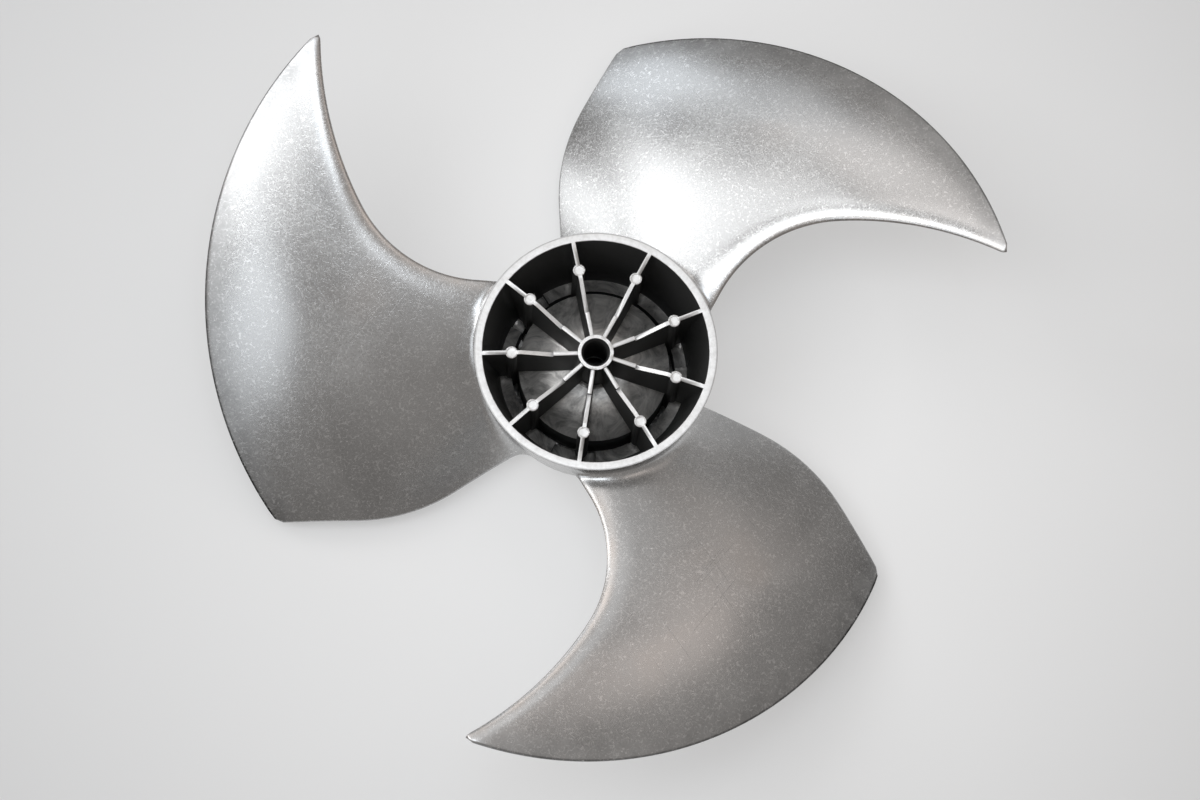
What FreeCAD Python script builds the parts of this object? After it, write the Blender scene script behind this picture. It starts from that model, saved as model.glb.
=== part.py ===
"""Cast aluminium axial fan impeller: three sickle blades on a tapered hub cup with radial ribs.

The whole impeller is one casting. The origin is on the shaft axis, where the bore leaves the
underside of the hub floor, and +Z points to the open, ribbed side of the hub.
"""
import FreeCAD, Part
import math
import os
import Sketcher
from FreeCAD import Placement, Rotation, Vector

# Driving dimensions in millimetres and degrees, heights as depths below the hub's rim plane
SIZES = {
    # hub cup
    "RimRadius": 61.0,
    "RimWidth": 4.1,
    "RimChamfer": 0.3,
    "HubDraft": 8.0,
    "NoseDepth": 72.0,
    "NoseBevel": 3.0,
    "DiscDepth": 38.0,
    "DiscRadius": 38.5,
    "FloorThickness": 4.5,
    "PadRadius": 11.5,
    "PadRise": 0.8,
    "GrooveWidth": 3.5,
    "GrooveDepth": 65.0,
    "LedgeDepth": 47.0,
    "LedgeWidth": 6.0,
    "WindowStart": 242.5,
    "WindowAngle": 28.5,
    "WindowDrop": 4.5,
    "RecessWall": 4.0,
    "RecessDraft": 3.0,
    # shaft tube and bore
    "TubeRadius": 9.0,
    "TubeDraft": 1.0,
    "TubeDepth": 3.9,
    "BoreRadius": 6.0,
    "MouthRadius": 7.3,
    "MouthDepth": 2.5,
    # radial ribs and their round posts
    "RibCount": 9,
    "RibPhase": 21.25,
    "RibThickness": 1.95,
    "RibDraft": 0.7,
    "SlopeOuterRadius": 37.5,
    "SlopeInnerRadius": 21.2,
    "SlopeDepth": 7.3,
    "StepDepth": 5.0,
    "PostRadius": 3.05,
    "PostOrbit": 42.2,
    "DishRadius": 2.2,
    "DishDepth": 0.3,
    # blade plan: leading edge of two tangent arcs, outer edge and trailing edge
    "BladeCount": 3,
    "LeadInnerX": -59.8,
    "LeadInnerY": 104.2,
    "LeadInnerRadius": 65.4,
    "LeadOuterRadius": 171.4,
    "LeadJoinAngle": 208.0,
    "LeadTipAngle": 178.9,
    "TipRelief": 7.0,
    "TipRound": 2.3,
    "OuterRadius": 171.4,
    "CornerX": -162.1,
    "CornerY": -75.9,
    "CornerRound": 5.0,
    "TrailBendX": -93.9,
    "TrailBendY": -75.6,
    "TrailBendRadius": 100.0,
    "TrailAngle": 33.1,
    # blade surface: height law over turn angle and radius, then thickness
    "RootRadius": 52.0,
    "MeanRadius": 130.0,
    "MeanAngle": 175.0,
    "RadiusUnit": 80.0,
    "AngleUnit": 40.0,
    "MidDepth": 11.1,
    "Pitch": 35.9,
    "Camber": 13.9,
    "Rake": -2.0,
    "Twist": 26.3,
    "Dish": 8.6,
    "Curl": 7.4,
    "DroopRadius": 144.0,
    "DroopReach": 40.0,
    "Droop": 3.3,
    "NoseLength": 7.0,
    "NoseBend": 2.2,
    "NoseUnder": 1.2,
    "LeadThickness": 3.6,
    "TrailThickness": 1.8,
    "ThinLength": 110.0,
}

# Millimetres that cutting tools and the blade blank run past what they trim
OVERCUT = 2.0
GUARD_LENGTH = 30.0
TRAIL_LENGTH = 80.0
PLAN_MARGIN = 8.0
LEAST_REACH = 60.0

# Spot inside the hub where the blade's plan closes, as shares of the rim radius
PLAN_END = (-0.33, 0.67)

# Where the blade's sections start: upright planes in the hub, then shares of the two leading arcs
ROOT_TURN = 270.0
ROOT_PLANES = (33.0, 48.0)
INNER_SHARES = (0.0, 0.25, 0.5, 0.75, 1.0)
OUTER_SHARES = (0.28, 0.55, 0.78, 1.05)

# Points along a section's skins, and heights of its nose corners in halves of the thickness
BODY_SHARES = (0.0, 0.33, 0.67, 1.0)
NOSE_BEND_HEIGHT = 0.45
NOSE_TIP_HEIGHT = -0.4

# Millimetres either side of a spot, over which the surface's slope is taken
SLOPE_STEP = 0.1

doc = FreeCAD.newDocument("AxialFanImpeller")
sheet = doc.addObject("Spreadsheet::Sheet", "Sizes")
for row, (alias, value) in enumerate(SIZES.items(), start=1):
    sheet.set("A%d" % row, alias)
    sheet.set("B%d" % row, "%s" % value)
    sheet.setAlias("B%d" % row, alias)
doc.recompute()


def size(expression):
    """Value of an expression in the sheet's aliases, each written as Sizes.Name."""
    return float(sheet.evalExpression(expression))


def origin_plane(body, role):
    """One of a body's own origin planes, found by its role."""
    return next(item for item in body.Origin.OriginFeatures if item.Role == role)


def new_sketch(body, name, role, height="0"):
    """Sketch on an origin plane, lifted along the plane's normal by an expression."""
    sketch = body.newObject("Sketcher::SketchObject", name)
    sketch.AttachmentSupport = (origin_plane(body, role), "")
    sketch.MapMode = "FlatFace"
    sketch.setExpression("AttachmentOffset.Base.z", height)
    return sketch


def bind(sketch, constraint, expression):
    """Add a dimension to a sketch and tie it to the sheet."""
    index = sketch.addConstraint(constraint)
    sketch.setExpression("Constraints[%d]" % index, expression)


def place_point(sketch, geometry, end, across, up):
    """Dimension a point from the sketch origin, by expressions."""
    root = -1
    bind(sketch, Sketcher.Constraint("DistanceX", root, 1, geometry, end, size(across)), across)
    bind(sketch, Sketcher.Constraint("DistanceY", root, 1, geometry, end, size(up)), up)


def draw_polygon(sketch, corners):
    """Closed outline whose corners are pairs of expressions."""
    spots = [Vector(size(across), size(up), 0) for across, up in corners]
    count = len(spots)
    for index in range(count):
        sketch.addGeometry(Part.LineSegment(spots[index], spots[(index + 1) % count]), False)
    for index in range(count):
        sketch.addConstraint(Sketcher.Constraint("Coincident", index, 2, (index + 1) % count, 1))
    for index, (across, up) in enumerate(corners):
        place_point(sketch, index, 1, across, up)


def draw_circle(sketch, across, up, radius):
    """Circle with its centre and radius given by expressions."""
    centre = Vector(size(across), size(up), 0)
    index = sketch.addGeometry(Part.Circle(centre, Vector(0, 0, 1), size(radius)), False)
    place_point(sketch, index, 3, across, up)
    bind(sketch, Sketcher.Constraint("Radius", index, size(radius)), radius)


def revolve(body, name, corners):
    """Full turn of an outline in the body's XZ plane about Z."""
    sketch = new_sketch(body, name + "Outline", "XZ_Plane")
    draw_polygon(sketch, corners)
    turn = body.newObject("PartDesign::Revolution", name)
    turn.Profile = sketch
    turn.ReferenceAxis = (sketch, ["V_Axis"])
    turn.Angle = 360.0
    return turn


def new_body(name):
    """Empty body; heights in its sketches are measured from the bore's lower end."""
    return doc.addObject("PartDesign::Body", name)


RIM = "(Sizes.DiscDepth + Sizes.FloorThickness)"


def below_rim(depth):
    """Height of a point that lies a given depth below the rim plane."""
    return "%s - (%s)" % (RIM, depth)


# Hub blank: the tapered outside of the cup, still solid inside
hub = new_body("HubBlank")
nose_radius = "(Sizes.RimRadius - Sizes.NoseDepth * tan(Sizes.HubDraft * 1 deg))"
hub_turn = revolve(hub, "HubTurn", [
    ("0", below_rim("Sizes.NoseDepth")),
    (nose_radius, below_rim("Sizes.NoseDepth")),
    ("Sizes.RimRadius", below_rim("Sizes.RimChamfer")),
    ("Sizes.RimRadius - Sizes.RimChamfer", RIM),
    ("0", RIM),
])
doc.recompute()


def edges_at(shape, radius, height, slack=0.01):
    """Names of the round edges about Z with this radius and height."""
    names = []
    for number, edge in enumerate(shape.Edges, start=1):
        curve = edge.Curve
        if not isinstance(curve, Part.Circle):
            continue
        if abs(curve.Radius - radius) < slack and abs(curve.Center.z - height) < slack:
            names.append("Edge%d" % number)
    return names


nose_bevel = hub.newObject("PartDesign::Chamfer", "NoseBevel")
nose_edges = edges_at(hub_turn.Shape, size(nose_radius), size(below_rim("Sizes.NoseDepth")))
nose_bevel.Base = (hub_turn, nose_edges)
nose_bevel.setExpression("Size", "Sizes.NoseBevel")
doc.recompute()

# Cavity: the space inside the cup, before ribs, posts and tube are left standing in it
cavity = new_body("Cavity")
wall_at_rim = "(Sizes.RimRadius - Sizes.RimWidth)"
groove_outer = "(Sizes.DiscRadius + Sizes.GrooveWidth)"
ledge_outer = "(%s + Sizes.LedgeWidth)" % groove_outer
revolve(cavity, "CavityTurn", [
    ("0", below_rim("Sizes.DiscDepth - Sizes.PadRise")),
    ("Sizes.PadRadius", below_rim("Sizes.DiscDepth - Sizes.PadRise")),
    ("Sizes.PadRadius", below_rim("Sizes.DiscDepth")),
    ("Sizes.DiscRadius", below_rim("Sizes.DiscDepth")),
    ("Sizes.DiscRadius", below_rim("Sizes.GrooveDepth")),
    (groove_outer, below_rim("Sizes.GrooveDepth")),
    (groove_outer, below_rim("Sizes.LedgeDepth")),
    (ledge_outer, below_rim("Sizes.LedgeDepth")),
    (wall_at_rim, below_rim("Sizes.RimChamfer")),
    (wall_at_rim + " + Sizes.RimChamfer", RIM),
    (wall_at_rim + " + Sizes.RimChamfer", RIM + " + %g" % OVERCUT),
    ("0", RIM + " + %g" % OVERCUT),
])

# Windows: three lower stretches of the ledge
window_sketch = new_sketch(cavity, "WindowPlan", "XY_Plane", below_rim("Sizes.LedgeDepth"))
window_inner = size(groove_outer) - OVERCUT
window_outer = size(ledge_outer)
from_angle = math.radians(size("Sizes.WindowStart"))
to_angle = from_angle + math.radians(size("Sizes.WindowAngle"))
up = Vector(0, 0, 1)
centre = Vector(0, 0, 0)


def polar(radius, angle):
    """Point in the plan at a radius and an angle in radians."""
    return Vector(radius * math.cos(angle), radius * math.sin(angle), 0)


window_sketch.addGeometry([
    Part.ArcOfCircle(Part.Circle(centre, up, window_inner), from_angle, to_angle),
    Part.ArcOfCircle(Part.Circle(centre, up, window_outer), from_angle, to_angle),
    Part.LineSegment(polar(window_inner, from_angle), polar(window_outer, from_angle)),
    Part.LineSegment(polar(window_inner, to_angle), polar(window_outer, to_angle)),
], False)
for first, first_end, second, second_end in ((0, 1, 2, 1), (1, 1, 2, 2), (0, 2, 3, 1), (1, 2, 3, 2)):
    window_sketch.addConstraint(Sketcher.Constraint("Coincident", first, first_end, second, second_end))
window_sketch.addConstraint(Sketcher.Constraint("Coincident", 0, 3, -1, 1))
window_sketch.addConstraint(Sketcher.Constraint("Coincident", 1, 3, -1, 1))
window_sketch.addConstraint(Sketcher.Constraint("PointOnObject", -1, 1, 2))
window_sketch.addConstraint(Sketcher.Constraint("PointOnObject", -1, 1, 3))
bind(window_sketch, Sketcher.Constraint("Radius", 0, window_inner), groove_outer + " - %g" % OVERCUT)
bind(window_sketch, Sketcher.Constraint("Radius", 1, window_outer), ledge_outer)
bind(window_sketch, Sketcher.Constraint("Angle", -1, 1, 2, 1, from_angle), "Sizes.WindowStart * 1 deg")
bind(window_sketch, Sketcher.Constraint("Angle", 2, 1, 3, 1, to_angle - from_angle),
     "Sizes.WindowAngle * 1 deg")
window = cavity.newObject("PartDesign::Pad", "Window")
window.Profile = window_sketch
window.Reversed = True
window.setExpression("Length", "Sizes.WindowDrop")
windows = cavity.newObject("PartDesign::PolarPattern", "Windows")
windows.Originals = [window]
windows.Axis = (window_sketch, ["N_Axis"])
windows.Angle = 360.0
windows.setExpression("Occurrences", "Sizes.BladeCount")
cavity.Tip = windows
doc.recompute()

# Spider: ribs, posts and shaft tube that stay standing in the cavity
spider = new_body("Spider")
rib_sketch = new_sketch(spider, "RibPlan", "XY_Plane", RIM)
draw_polygon(rib_sketch, [
    ("Sizes.BoreRadius", "-Sizes.RibThickness / 2"),
    ("Sizes.RimRadius", "-Sizes.RibThickness / 2"),
    ("Sizes.RimRadius", "Sizes.RibThickness / 2"),
    ("Sizes.BoreRadius", "Sizes.RibThickness / 2"),
])
rib = spider.newObject("PartDesign::Pad", "Rib")
rib.Profile = rib_sketch
rib.Reversed = True
rib.setExpression("Length", "Sizes.NoseDepth")
rib.setExpression("TaperAngle", "Sizes.RibDraft * 1 deg")

slope_sketch = new_sketch(spider, "RibTop", "XZ_Plane")
draw_polygon(slope_sketch, [
    ("0", RIM + " + %g" % OVERCUT),
    ("0", below_rim("Sizes.StepDepth")),
    ("Sizes.SlopeInnerRadius", below_rim("Sizes.StepDepth")),
    ("Sizes.SlopeInnerRadius", below_rim("Sizes.SlopeDepth")),
    ("Sizes.SlopeOuterRadius", RIM),
    ("Sizes.SlopeOuterRadius", RIM + " + %g" % OVERCUT),
])
slope = spider.newObject("PartDesign::Pocket", "RibSlope")
slope.Profile = slope_sketch
slope.Midplane = True
slope.setExpression("Length", "Sizes.PostRadius * 2")

post_sketch = new_sketch(spider, "PostPlan", "XY_Plane", RIM)
draw_circle(post_sketch, "Sizes.PostOrbit", "0", "Sizes.PostRadius")
post = spider.newObject("PartDesign::Pad", "Post")
post.Profile = post_sketch
post.Reversed = True
post.setExpression("Length", "Sizes.NoseDepth")

dish_sketch = new_sketch(spider, "DishPlan", "XY_Plane", RIM)
draw_circle(dish_sketch, "Sizes.PostOrbit", "0", "Sizes.DishRadius")
dish = spider.newObject("PartDesign::Pocket", "PostDish")
dish.Profile = dish_sketch
dish.setExpression("Length", "Sizes.DishDepth")

spokes = spider.newObject("PartDesign::PolarPattern", "Spokes")
spokes.Originals = [rib, slope, post, dish]
spokes.Axis = (rib_sketch, ["N_Axis"])
spokes.Angle = 360.0
spokes.setExpression("Occurrences", "Sizes.RibCount")
spider.Tip = spokes

tube_sketch = new_sketch(spider, "TubePlan", "XY_Plane", below_rim("Sizes.TubeDepth"))
draw_circle(tube_sketch, "0", "0", "Sizes.TubeRadius")
tube = spider.newObject("PartDesign::Pad", "Tube")
tube.Profile = tube_sketch
tube.Reversed = True
tube.setExpression("Length", "Sizes.NoseDepth")
tube.setExpression("TaperAngle", "Sizes.TubeDraft * 1 deg")
spider.setExpression("Placement.Rotation.Angle", "Sizes.RibPhase * 1 deg")
spider.Placement.Rotation.Axis = up
doc.recompute()

# Pockets: what is cast away inside the cup
pockets = doc.addObject("Part::Cut", "Pockets")
pockets.Base = cavity
pockets.Tool = spider

# Bore: shaft hole with its countersunk mouth, and the nut recess on the underside
bore = new_body("Bore")
recess_top = "(Sizes.DiscRadius - Sizes.RecessWall)"
recess_foot = ("(%s + (Sizes.NoseDepth - Sizes.DiscDepth - Sizes.FloorThickness)"
               " * tan(Sizes.RecessDraft * 1 deg))" % recess_top)
revolve(bore, "BoreTurn", [
    ("0", below_rim("Sizes.NoseDepth") + " - %g" % OVERCUT),
    (recess_foot, below_rim("Sizes.NoseDepth") + " - %g" % OVERCUT),
    (recess_foot, below_rim("Sizes.NoseDepth")),
    (recess_top, "0"),
    ("Sizes.BoreRadius", "0"),
    ("Sizes.BoreRadius", below_rim("Sizes.TubeDepth + Sizes.MouthDepth")),
    ("Sizes.MouthRadius", below_rim("Sizes.TubeDepth")),
    ("Sizes.MouthRadius", RIM + " + %g" % OVERCUT),
    ("0", RIM + " + %g" % OVERCUT),
])
doc.recompute()

# Blade plan: the outline that trims the blade's outer edge, trailing edge and rounded corners
plan = new_body("BladePlan")
lead_inner = Vector(size("Sizes.LeadInnerX"), size("Sizes.LeadInnerY"), 0)
join_turn = math.radians(size("Sizes.LeadJoinAngle"))
radius_gap = size("Sizes.LeadOuterRadius - Sizes.LeadInnerRadius")
lead_outer = lead_inner - polar(radius_gap, join_turn)
tip_x = ("(Sizes.LeadInnerX - (Sizes.LeadOuterRadius - Sizes.LeadInnerRadius)"
         " * cos(Sizes.LeadJoinAngle * 1 deg)"
         " + Sizes.LeadOuterRadius * cos(Sizes.LeadTipAngle * 1 deg))")
tip_y = tip_x.replace("LeadInnerX", "LeadInnerY").replace("cos(", "sin(")
guard_turn = "((Sizes.LeadTipAngle + 90 + Sizes.TipRelief) * 1 deg)"
plan_corners = [
    (tip_x, tip_y),
    ("Sizes.CornerX", "Sizes.CornerY"),
    ("Sizes.TrailBendX", "Sizes.TrailBendY"),
    ("Sizes.TrailBendX + %g * cos(Sizes.TrailAngle * 1 deg)" % TRAIL_LENGTH,
     "Sizes.TrailBendY + %g * sin(Sizes.TrailAngle * 1 deg)" % TRAIL_LENGTH),
    tuple("%g * Sizes.RimRadius" % share for share in PLAN_END),
    ("Sizes.LeadInnerX", "Sizes.LeadInnerY"),
    ("%s + %g * cos%s" % (tip_x, GUARD_LENGTH, guard_turn),
     "%s + %g * sin%s" % (tip_y, GUARD_LENGTH, guard_turn)),
]
ceiling = RIM + " + Sizes.NoseDepth"
plan_sketch = new_sketch(plan, "PlanOutline", "XY_Plane", ceiling)
spots = [Vector(size(across), size(upward), 0) for across, upward in plan_corners]
chord = spots[1] - spots[0]
middle = (spots[0] + spots[1]) * 0.5
inward = Vector(-chord.y, chord.x, 0).normalize()
outer_radius = size("Sizes.OuterRadius")
sagitta_side = math.sqrt(outer_radius ** 2 - (chord.Length / 2) ** 2)
outer_centre = middle + inward * sagitta_side
outer_circle = Part.Circle(outer_centre, up, outer_radius)
start_turn = math.atan2(spots[0].y - outer_centre.y, spots[0].x - outer_centre.x)
end_turn = math.atan2(spots[1].y - outer_centre.y, spots[1].x - outer_centre.x)
plan_sketch.addGeometry(Part.ArcOfCircle(outer_circle, start_turn, end_turn), False)
count = len(spots)
for index in range(1, count):
    plan_sketch.addGeometry(Part.LineSegment(spots[index], spots[(index + 1) % count]), False)
for index in range(count):
    plan_sketch.addConstraint(Sketcher.Constraint("Coincident", index, 2, (index + 1) % count, 1))
for index, (across, upward) in enumerate(plan_corners):
    place_point(plan_sketch, index, 1, across, upward)
bind(plan_sketch, Sketcher.Constraint("Radius", 0, outer_radius), "Sizes.OuterRadius")
plan_pad = plan.newObject("PartDesign::Pad", "PlanPad")
plan_pad.Profile = plan_sketch
plan_pad.Reversed = True
plan_pad.setExpression("Length", "Sizes.NoseDepth * 2")
doc.recompute()


def upright_edge(shape, spot, slack=0.001):
    """Name of the edge parallel to Z that stands over a spot in the plan."""
    for number, edge in enumerate(shape.Edges, start=1):
        low, high = edge.Vertexes[0].Point, edge.Vertexes[-1].Point
        upright = math.hypot(low.x - high.x, low.y - high.y) < slack
        if upright and math.hypot(low.x - spot.x, low.y - spot.y) < slack:
            return "Edge%d" % number
    raise ValueError("no upright edge over %s" % spot)


base = plan_pad
for name, spot, radius in (("TrailBend", spots[2], "TrailBendRadius"),
                           ("CornerFillet", spots[1], "CornerRound"),
                           ("TipFillet", spots[0], "TipRound")):
    fillet = plan.newObject("PartDesign::Fillet", name)
    fillet.Base = (base, [upright_edge(base.Shape, spot)])
    fillet.setExpression("Radius", "Sizes.%s" % radius)
    doc.recompute()
    base = fillet


def surface_height(spot):
    """Height of the blade's middle surface over a spot in the plan."""
    radius = max(math.hypot(spot.x, spot.y), size("Sizes.RootRadius"))
    turn = math.degrees(math.atan2(spot.y, spot.x)) % 360
    out = (radius - size("Sizes.MeanRadius")) / size("Sizes.RadiusUnit")
    back = (turn - size("Sizes.MeanAngle")) / size("Sizes.AngleUnit")
    fall = size("Sizes.MidDepth") + size("Sizes.Rake") * out + size("Sizes.Dish") * out ** 2
    fall += size("Sizes.Pitch") * back + size("Sizes.Camber") * back ** 2
    fall += size("Sizes.Twist") * out * back + size("Sizes.Curl") * out ** 2 * back
    drooping = max(0, radius - size("Sizes.DroopRadius")) / size("Sizes.DroopReach")
    fall += size("Sizes.Droop") * drooping ** 2
    return size(RIM) - fall


def half_thickness(inset):
    """Half the blade's thickness at a distance behind the leading edge."""
    lead, trail = size("Sizes.LeadThickness") / 2, size("Sizes.TrailThickness") / 2
    nose_length = size("Sizes.NoseLength")
    thinned = (inset - nose_length) / (size("Sizes.ThinLength") - nose_length)
    thinned = max(0, min(1, thinned))
    return lead + (trail - lead) * thinned


def surface_slope(spot, ray):
    """Rise of the middle surface per millimetre along a ray in the plan."""
    ahead, behind = spot + ray * SLOPE_STEP, spot - ray * SLOPE_STEP
    return (surface_height(ahead) - surface_height(behind)) / (2 * SLOPE_STEP)


def surface_frame(spot, ray):
    """Point on the middle surface, its direction along the ray and its normal."""
    slope = surface_slope(spot, ray)
    along = ray + up * slope
    normal = (up - ray * slope).normalize()
    return Vector(spot.x, spot.y, surface_height(spot)), along, normal


def body_curve(nose, ray, start, reach, side):
    """One skin behind the nose, from its start to the section's reach; side is 1 or -1."""
    points, ends = [], []
    for share in BODY_SHARES:
        inset = start + (reach - start) * share
        middle, along, normal = surface_frame(nose + ray * inset, ray)
        points.append(middle + normal * half_thickness(inset) * side)
        ends.append(along * (reach - start))
    curve = Part.BSplineCurve()
    curve.interpolate(Points=points, Parameters=BODY_SHARES, InitialTangent=ends[0],
                      FinalTangent=ends[-1], Scale=False)
    return curve


def nose_lines(nose, ray):
    """Front of a section: the upper skin rolls down in two bevels, the lower skin ends in a short one."""
    half = size("Sizes.LeadThickness") / 2
    corners = []
    for inset, share in ((size("Sizes.NoseLength"), 1), (size("Sizes.NoseBend"), NOSE_BEND_HEIGHT),
                         (0, NOSE_TIP_HEIGHT), (size("Sizes.NoseUnder"), -1)):
        middle, _, normal = surface_frame(nose + ray * inset, ray)
        corners.append(middle + normal * half * share)
    return [Part.LineSegment(first, second) for first, second in zip(corners, corners[1:])]


def blade_section(nose, turn, reach):
    """Closed section in an upright plane that starts at the leading edge and runs back."""
    ray = polar(1, math.radians(turn))
    top = body_curve(nose, ray, size("Sizes.NoseLength"), reach, 1)
    bottom = body_curve(nose, ray, size("Sizes.NoseUnder"), reach, -1)
    tail = Part.LineSegment(bottom.EndPoint, top.EndPoint)
    top.reverse()
    return Part.Wire([item.toShape() for item in (top, *nose_lines(nose, ray), bottom, tail)])


plan_face = Part.Face(plan_sketch.Shape.Wires[0])


def reach_across(nose, turn):
    """Length of a section: across the plan from the leading edge, and a margin past its far side."""
    ray = polar(1, math.radians(turn))
    start = Vector(nose.x, nose.y, size(ceiling))
    inside = Part.makeLine(start, start + ray * size("Sizes.OuterRadius * 2")).common(plan_face)
    return max(inside.Length + PLAN_MARGIN, LEAST_REACH)


root_y = size("Sizes.LeadInnerY - Sizes.LeadInnerRadius")
stations = [(Vector(-across, root_y, 0), ROOT_TURN) for across in ROOT_PLANES]
leading_arcs = (
    (lead_inner, size("Sizes.LeadInnerRadius"), INNER_SHARES, ROOT_TURN, size("Sizes.LeadJoinAngle")),
    (lead_outer, size("Sizes.LeadOuterRadius"), OUTER_SHARES, size("Sizes.LeadJoinAngle"),
     size("Sizes.LeadTipAngle")),
)
for arc_centre, radius, shares, first, last in leading_arcs:
    for share in shares:
        turn = first + (last - first) * share
        stations.append((arc_centre + polar(radius, math.radians(turn)), turn))
sections = [blade_section(nose, turn, reach_across(nose, turn)) for nose, turn in stations]
blank = doc.addObject("Part::Feature", "BladeBlank")
blank.Shape = Part.makeLoft(sections, True)
doc.recompute()
blades = []
for index in range(int(size("Sizes.BladeCount"))):
    blade = doc.addObject("Part::Common", "Blade%d" % (index + 1))
    blade.Base = blank
    blade.Tool = plan
    blade.Placement = Placement(centre, Rotation(up, index * 360 / size("Sizes.BladeCount")))
    blades.append(blade)
doc.recompute()

# Casting: blades joined to the hub, then the inside of the cup and the bore cut away
joined = doc.addObject("Part::MultiFuse", "HubWithBlades")
joined.Shapes = [hub] + blades
doc.recompute()

cupped = doc.addObject("Part::Cut", "CuppedHub")
cupped.Base = joined
cupped.Tool = pockets
impeller = doc.addObject("Part::Cut", "Impeller")
impeller.Base = cupped
impeller.Tool = bore
impeller.Label = "impeller"
doc.recompute()

for item in doc.Objects:
    if "Invalid" in item.State or "Error" in item.State:
        raise RuntimeError("%s failed: %s" % (item.Name, item.State))
shape = impeller.Shape
if shape.isNull() or not shape.isValid() or len(shape.Solids) != 1:
    raise RuntimeError("impeller isn't one valid solid")
os.makedirs("parts", exist_ok=True)
shape.exportStep("parts/impeller.step")
print("impeller volume", round(shape.Volume), "mm3")
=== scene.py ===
"""Look of a cast aluminium axial fan impeller that lies nose down on a pale studio floor."""

import math

import bmesh
import bpy
import numpy as np
from mathutils import Matrix, Vector


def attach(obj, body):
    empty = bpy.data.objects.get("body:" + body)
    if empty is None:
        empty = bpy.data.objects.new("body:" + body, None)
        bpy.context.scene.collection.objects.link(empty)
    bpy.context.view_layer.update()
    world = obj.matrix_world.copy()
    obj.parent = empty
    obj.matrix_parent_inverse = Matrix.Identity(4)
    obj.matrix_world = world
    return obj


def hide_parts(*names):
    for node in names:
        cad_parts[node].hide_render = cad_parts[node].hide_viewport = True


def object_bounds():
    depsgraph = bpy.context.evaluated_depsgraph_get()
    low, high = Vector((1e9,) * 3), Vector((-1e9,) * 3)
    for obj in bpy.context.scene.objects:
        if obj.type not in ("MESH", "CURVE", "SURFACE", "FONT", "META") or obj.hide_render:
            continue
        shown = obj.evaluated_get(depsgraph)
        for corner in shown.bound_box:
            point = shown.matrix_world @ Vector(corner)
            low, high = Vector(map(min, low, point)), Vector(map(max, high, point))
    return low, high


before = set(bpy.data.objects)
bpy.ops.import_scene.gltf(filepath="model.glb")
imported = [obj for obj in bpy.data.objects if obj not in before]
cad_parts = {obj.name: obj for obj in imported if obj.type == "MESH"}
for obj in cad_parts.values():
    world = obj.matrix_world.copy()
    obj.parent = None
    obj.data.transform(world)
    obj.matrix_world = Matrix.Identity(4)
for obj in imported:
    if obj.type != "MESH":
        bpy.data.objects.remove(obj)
cad_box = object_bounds()
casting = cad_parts["impeller"]

# Sizes are in millimetres where nothing else is said, and MM turns them into metres
MM = 0.001

# Heights in the frame: the hub's rim plane, and the floor that its nose stands on
RIM_HEIGHT = 42.5
FLOOR_HEIGHT = cad_box[0].z / MM

# Hub cone, with the room that the blade fillets keep from its rim and nose
RIM_RADIUS = 61.0
HUB_DRAFT = math.radians(8.0)
RIM_CLEARANCE, FOOT_CLEARANCE = 0.9, 3.6

# Blade plan: two tangent leading arcs, an outer arc and a trailing edge with one bend
BLADE_COUNT, SECTOR_START = 3, math.radians(115.0)
LEAD_INNER = (-59.8, 104.2)
LEAD_INNER_RADIUS, LEAD_OUTER_RADIUS = 65.4, 171.4
LEAD_ROOT, LEAD_JOIN, LEAD_TIP = math.radians(270.0), math.radians(208.0), math.radians(178.9)
OUTER_RADIUS = 171.4
CORNER = (-162.1, -75.9)
TRAIL_BEND = (-93.9, -75.6)
TRAIL_ANGLE = math.radians(33.1)
BEND_REACH, CORNER_REACH, TIP_REACH = 29.0, 4.0, 6.5
ROOT_RADIUS = 46.0

# Blade surface: depth under the rim, a law of the distance from the shaft and the turn round it
LAW_RADIUS = 52.0
MEAN_RADIUS, RADIUS_UNIT = 130.0, 80.0
MEAN_ANGLE, ANGLE_UNIT = 175.0, 40.0
MID_DEPTH, PITCH, CAMBER, RAKE, TWIST, DISH, CURL = 11.1, 35.9, 13.9, -2.0, 26.3, 8.6, 7.4
DROOP_RADIUS, DROOP_REACH, DROOP = 144.0, 40.0, 3.3
SLOPE_STEP = 0.2

# Blade section: rounded nose, thickness and thin far edge
LEAD_THICKNESS, TRAIL_THICKNESS, THIN_LENGTH = 3.6, 1.8, 110.0
NOSE_LENGTH, NOSE_DROP, NOSE_UNDER = 8.0, 0.4, 1.2
ROOT_NOSE_LENGTH, ROOT_NOSE_FADE = 18.0, 1.5
EDGE_ROUND, EDGE_INSET = 1.2, 0.1
FILLET = 8.0
FILLET_SUNK, ROOT_SUNK = 0.25, 1.6

# Mesh of a blade: counts of points, and how they crowd at the nose and at the far edge
ARC_POINTS, EDGE_POINTS, BEND_POINTS = 90, 160, 12
SPAN_STEPS, FINE_STEPS, FILLET_STEPS = 84, 240, 7
NOSE_STEPS, CHORD_STEPS, EDGE_STEPS = 12, 34, 4
NOSE_CROWDING, EDGE_CROWDING = 1.8, 1.6
NOSE_MARGIN, NOSE_LIMIT, EDGE_LIMIT = 1.0, 0.3, 0.1
SHORTEST = 0.001

# Making of the whole mesh: room outside the hub's cone, merge distances in metres and a sharp edge's angle
HUB_SLACK = 0.05
HUB_MERGE, BLADE_MERGE = 0.001 * MM, 0.0001 * MM
SHARP_ANGLE = math.radians(32.0)

# Camera: the photo's view, as a tilt and a turn about the middle of the hub's rim
FRAME_WIDTH = 1200
PIXEL = 0.5
CAMERA_TILT = math.radians(-12.08)
CAMERA_TURN = math.radians(1.72)
CAMERA_DISTANCE = 3422 * PIXEL
CAMERA_SHIFT = (-4.06 * PIXEL, 49.49 * PIXEL)
SENSOR = 36.0

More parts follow.
